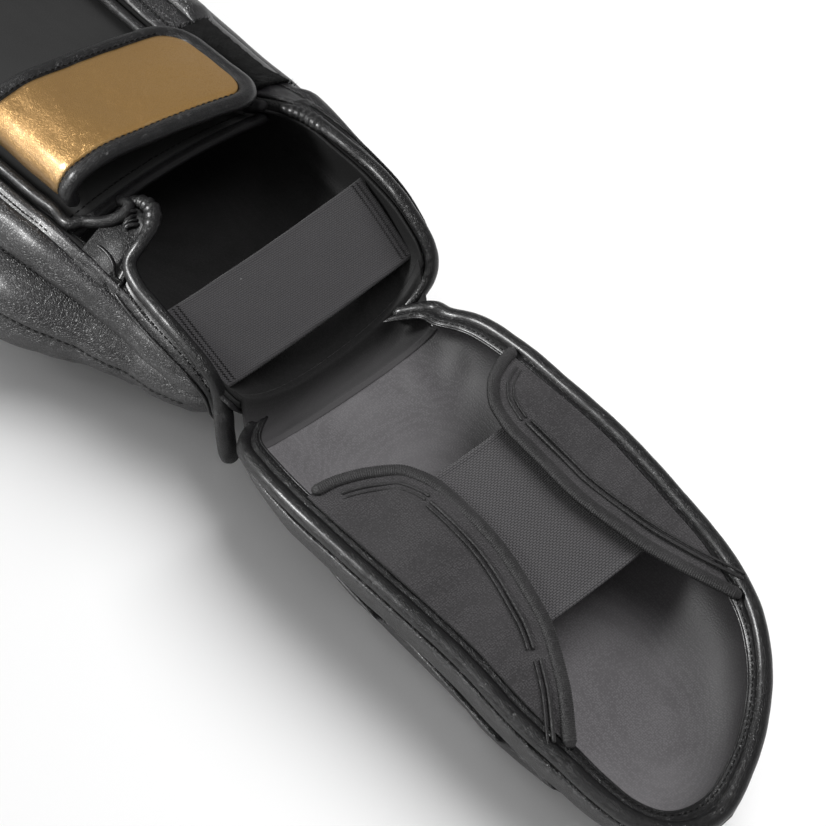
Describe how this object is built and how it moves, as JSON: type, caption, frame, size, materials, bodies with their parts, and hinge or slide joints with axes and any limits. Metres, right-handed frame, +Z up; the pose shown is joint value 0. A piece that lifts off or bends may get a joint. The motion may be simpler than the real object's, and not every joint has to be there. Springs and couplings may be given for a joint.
{
  "type": "shin and instep guard",
  "caption": "Padded leather shin and instep guard with a hinged foot shell, closure straps, an ankle elastic and an open sole held by stretch wings and an elastic.",
  "frame": {"origin": "centre of the footprint, on the ground the guard lies on", "axes": "+X from the knee end to the toes, +Z up out of the open back, +Y to the side the straps close towards"},
  "size_m": [0.5794, 0.173, 0.0964],
  "materials": {
    "black_leather": "fine grained, semi-gloss",
    "piping_leather": "smooth, semi-gloss",
    "gold_leather": "metallic, satin sheen",
    "lining": "smooth tricot, matt",
    "foam": "closed-cell, matt",
    "elastic": "cross-ribbed woven elastic, matt",
    "overlock": "overlocked thread edge",
    "wing_fabric": "brushed stretch fabric, matt",
    "panel_fabric": "smooth stretch panel, matt",
    "strap_backing": "hook tape and felt, matt",
    "loop_patch": "fuzzy loop tape, matt"
  },
  "bodies": {
    "shin": {"shin_lining": "lining", "shin_foam_core": "foam", "shin_outer_cover": "black_leather", "shin_front_pad_1": "black_leather", "shin_front_pad_2": "black_leather", "shin_front_pad_3": "black_leather", "shin_front_pad_4": "black_leather", "shin_front_pad_5": "black_leather", "side_bolster_left": "black_leather", "side_bolster_right": "black_leather", "upper_bolster_left": "black_leather", "upper_bolster_right": "black_leather", "ankle_rim_left": "piping_leather", "ankle_rim_right": "piping_leather", "calf_piping_left": "piping_leather", "calf_piping_right": "piping_leather", "knee_binding": "piping_leather", "calf_panel": "panel_fabric", "calf_panel_binding": "piping_leather", "ankle_elastic": "elastic", "lower_loop_patch": "loop_patch", "upper_loop_patch": "loop_patch", "ankle_hinge_lining": "lining", "ankle_hinge_cover": "black_leather"},
    "foot": {"foot_lining": "lining", "foot_foam_core": "foam", "foot_outer_cover": "black_leather", "foot_centre_pad": "black_leather", "foot_side_pad_left": "black_leather", "foot_side_pad_right": "black_leather", "foot_rim": "piping_leather", "sole_wing_left": "wing_fabric", "sole_wing_right": "wing_fabric", "sole_wing_binding_left": "overlock", "sole_wing_binding_right": "overlock", "sole_elastic": "elastic"},
    "lower_strap": {"lower_strap_face": "gold_leather", "lower_strap_backing": "strap_backing", "lower_strap_binding": "piping_leather"},
    "upper_strap": {"upper_strap_face": "gold_leather", "upper_strap_backing": "strap_backing", "upper_strap_binding": "piping_leather"}
  },
  "joints": [
    {"name": "ankle_flex", "type": "hinge", "parent": "shin", "child": "foot", "pos_m": [0.0605, 0.022, 0.0255], "axis": [0, 1, 0], "range_deg": [-6, 55], "deforming": ["ankle_hinge_lining", "ankle_hinge_cover"]},
    {"name": "lower_strap_open", "type": "hinge", "parent": "shin", "child": "lower_strap", "pos_m": [-0.0687, -0.0345, 0.0864], "axis": [0.9962, 0.0522, 0.0698], "range_deg": [0, 100]},
    {"name": "upper_strap_open", "type": "hinge", "parent": "shin", "child": "upper_strap", "pos_m": [-0.2144, -0.0481, 0.0837], "axis": [0.9962, 0.0522, 0.0698], "range_deg": [0, 100]}
  ]
}
